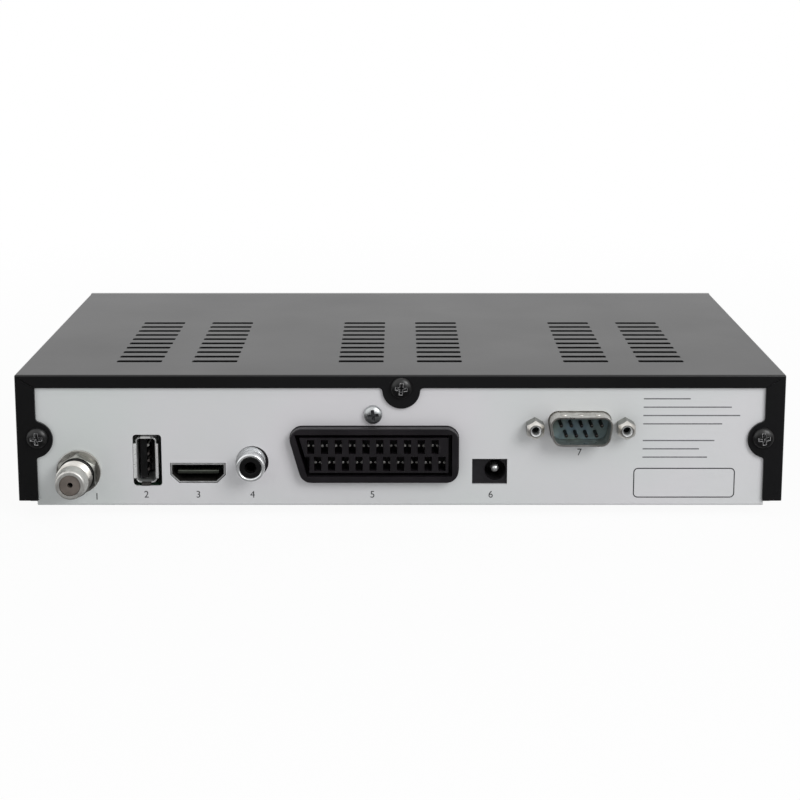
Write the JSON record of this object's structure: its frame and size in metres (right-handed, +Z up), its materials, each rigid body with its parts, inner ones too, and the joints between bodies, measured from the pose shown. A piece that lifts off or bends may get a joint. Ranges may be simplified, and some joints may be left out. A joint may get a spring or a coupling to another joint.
{
  "type": "satellite tv receiver",
  "caption": "Small set-top satellite receiver: black steel cover with cooling slots, pale rear socket panel, front bezel with display window and sprung keys, boards inside.",
  "frame": {"origin": "in the plane that the feet stand on, under the middle of the receiver's overall width and length, aerial connector included", "axes": "+X along the width, +Y towards the rear sockets, +Z up"},
  "size_m": [0.212, 0.1278, 0.0406],
  "materials": {
    "grey_panel_steel": "pale grey satin coating on steel sheet",
    "black_cover_steel": "black satin powder coat on steel sheet",
    "black_screw_steel": "black oxide",
    "zinc_steel": "bright zinc plate",
    "black_bezel_plastic": "moulded, high gloss",
    "smoked_acrylic": "smoked acrylic",
    "foot_rubber": "matt",
    "circuit_board": "green solder mask on glass fibre laminate",
    "nickel": "nickel plate",
    "chrome_plate": "chrome plate",
    "black_plastic": "moulded, matt",
    "grey_insulator": "moulded",
    "blue_green_insulator": "moulded",
    "gold_contact": "gold flash on copper alloy",
    "tinned_contact": "tin plate",
    "chip_plastic": "epoxy",
    "sink_aluminium": "extruded, natural",
    "red_light": "tinted epoxy",
    "ribbon_grey": "flexible vinyl",
    "capacitor_sleeve": "shrink sleeve"
  },
  "bodies": {
    "case": {"base_tray": "zinc_steel", "rear_panel": "grey_panel_steel", "top_cover": "black_cover_steel", "cover_screws": "black_screw_steel", "feet": "foot_rubber", "front_bezel": "black_bezel_plastic", "display_window": "smoked_acrylic", "front_board": "circuit_board", "front_board_screws": "zinc_steel", "bezel_screws": "zinc_steel", "key_switches": "black_plastic", "display_module": "chip_plastic", "infrared_receiver": "chip_plastic", "standby_light": "red_light", "main_board": "circuit_board", "board_standoffs": "zinc_steel", "board_screws": "zinc_steel", "tuner_case": "tinned_contact", "aerial_barrel": "nickel", "aerial_washer": "nickel", "aerial_nut": "nickel", "aerial_insulator": "grey_insulator", "aerial_contact": "gold_contact", "data_socket_shell": "nickel", "data_socket_tongue": "black_plastic", "data_socket_contacts": "gold_contact", "video_socket_shell": "nickel", "video_socket_tongue": "black_plastic", "video_socket_contacts": "gold_contact", "phono_housing": "black_plastic", "phono_barrel": "chrome_plate", "phono_insulator": "black_plastic", "phono_contact": "tinned_contact", "av_socket_housing": "black_plastic", "av_socket_contacts": "tinned_contact", "socket_screw": "zinc_steel", "power_socket_housing": "black_plastic", "power_socket_spring": "tinned_contact", "power_socket_pin": "nickel", "serial_socket_shell": "nickel", "serial_socket_insulator": "blue_green_insulator", "serial_socket_pins": "gold_contact", "serial_jackscrews": "nickel", "serial_riser_board": "circuit_board", "serial_riser_header": "black_plastic", "ribbon_cable": "ribbon_grey", "ribbon_plugs": "black_plastic", "processor_chip": "chip_plastic", "heat_sink": "sink_aluminium", "memory_chips": "chip_plastic", "flash_chip": "chip_plastic", "capacitors": "capacitor_sleeve", "inductors": "chip_plastic", "crystal": "nickel"},
    "standby_key": {"standby_button": "black_bezel_plastic", "standby_plunger": "black_plastic"},
    "channel_up_key": {"channel_up_button": "black_bezel_plastic", "channel_up_plunger": "black_plastic"},
    "channel_down_key": {"channel_down_button": "black_bezel_plastic", "channel_down_plunger": "black_plastic"}
  },
  "joints": [
    {"name": "standby_press", "type": "slide", "parent": "case", "child": "standby_key", "axis": [0, 1, 0], "range_m": [0, 0.0005], "stiffness_N_per_m": 2000, "springref_m": -0.0002},
    {"name": "channel_up_press", "type": "slide", "parent": "case", "child": "channel_up_key", "axis": [0, 1, 0], "range_m": [0, 0.0005], "stiffness_N_per_m": 2000, "springref_m": -0.0002},
    {"name": "channel_down_press", "type": "slide", "parent": "case", "child": "channel_down_key", "axis": [0, 1, 0], "range_m": [0, 0.0005], "stiffness_N_per_m": 2000, "springref_m": -0.0002}
  ]
}
